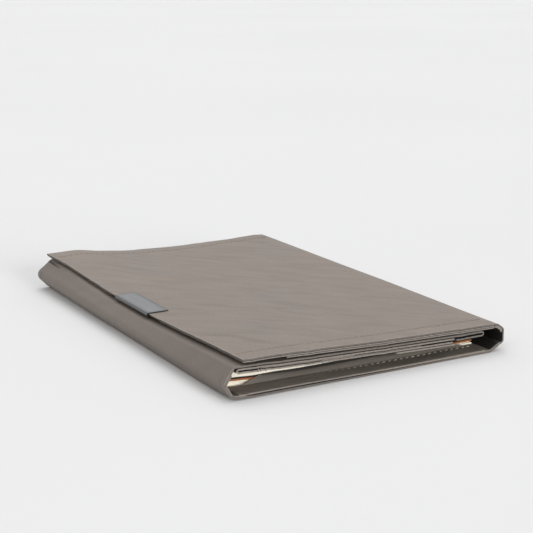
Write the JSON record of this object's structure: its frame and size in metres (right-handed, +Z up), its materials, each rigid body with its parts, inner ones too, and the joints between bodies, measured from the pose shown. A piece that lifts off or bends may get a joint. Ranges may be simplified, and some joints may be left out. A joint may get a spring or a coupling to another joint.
{
  "type": "passport holder wallet",
  "caption": "Slim folded travel wallet with a magnetic clip flap, card pockets, a sewn passport pocket and booklets that slide out.",
  "frame": {"origin": "centre of the base, on the surface the wallet lies on", "axes": "+X across the wallet from the flap's free edge to the spine, +Y along its length, +Z up through its thickness"},
  "size_m": [0.0982, 0.15, 0.0115],
  "materials": {
    "outer_sheet": "semi-matte warm grey, faint creases",
    "inner_sheet": "matte dark warm grey",
    "thread": "matte twisted thread",
    "clip_steel": "satin grey coated steel",
    "magnet": "plain",
    "page_paper": "matte cream paper",
    "booklet_cover": "matte orange brown card",
    "cream_cover": "matte cream card"
  },
  "bodies": {
    "back": {"back_cover": "outer_sheet", "left_wall_lower": "outer_sheet", "left_wall_upper": "outer_sheet", "spine_gusset": "outer_sheet", "back_lining": "inner_sheet", "passport_pocket": "inner_sheet", "back_thread_near": "thread", "back_thread_far": "thread", "wall_thread_near": "thread", "wall_thread_far": "thread"},
    "spine": {"spine_wall": "outer_sheet"},
    "flap": {"flap_cover": "outer_sheet", "flap_pocket": "inner_sheet", "flap_clip": "clip_steel", "flap_thread_near": "thread", "flap_thread_far": "thread"},
    "front_panel": {"front_cover": "outer_sheet", "front_lining": "inner_sheet", "card_pocket_1": "inner_sheet", "card_pocket_2": "inner_sheet", "card_pocket_3": "inner_sheet", "closure_magnet": "magnet"},
    "lower_booklet": {"lower_booklet_cover": "booklet_cover", "lower_booklet_pages": "page_paper"},
    "upper_booklet": {"upper_booklet_cover": "cream_cover", "upper_booklet_pages": "page_paper"}
  },
  "joints": [
    {"name": "spine_hinge", "type": "hinge", "parent": "back", "child": "spine", "pos_m": [0.0491, 0, 0.0028], "axis": [0, 1, 0], "range_deg": [0, 88]},
    {"name": "flap_hinge", "type": "hinge", "parent": "spine", "child": "flap", "pos_m": [0.0491, 0, 0.0071], "axis": [0, 1, 0], "range_deg": [0, 88]},
    {"name": "front_hinge", "type": "hinge", "parent": "back", "child": "front_panel", "pos_m": [-0.0457, 0, 0.0089], "axis": [0, -1, 0], "range_deg": [0, 15]},
    {"name": "upper_booklet_slide", "type": "slide", "parent": "back", "child": "upper_booklet", "axis": [0, -1, 0], "range_m": [0, 0.13]},
    {"name": "lower_booklet_slide", "type": "slide", "parent": "back", "child": "lower_booklet", "axis": [0, 1, 0], "range_m": [0, 0.13]}
  ],
  "couplings": [
    {"joint": "spine_hinge", "follows": "flap_hinge", "ratio": 1},
    {"joint": "front_hinge", "follows": "flap_hinge", "ratio": 0.17}
  ]
}
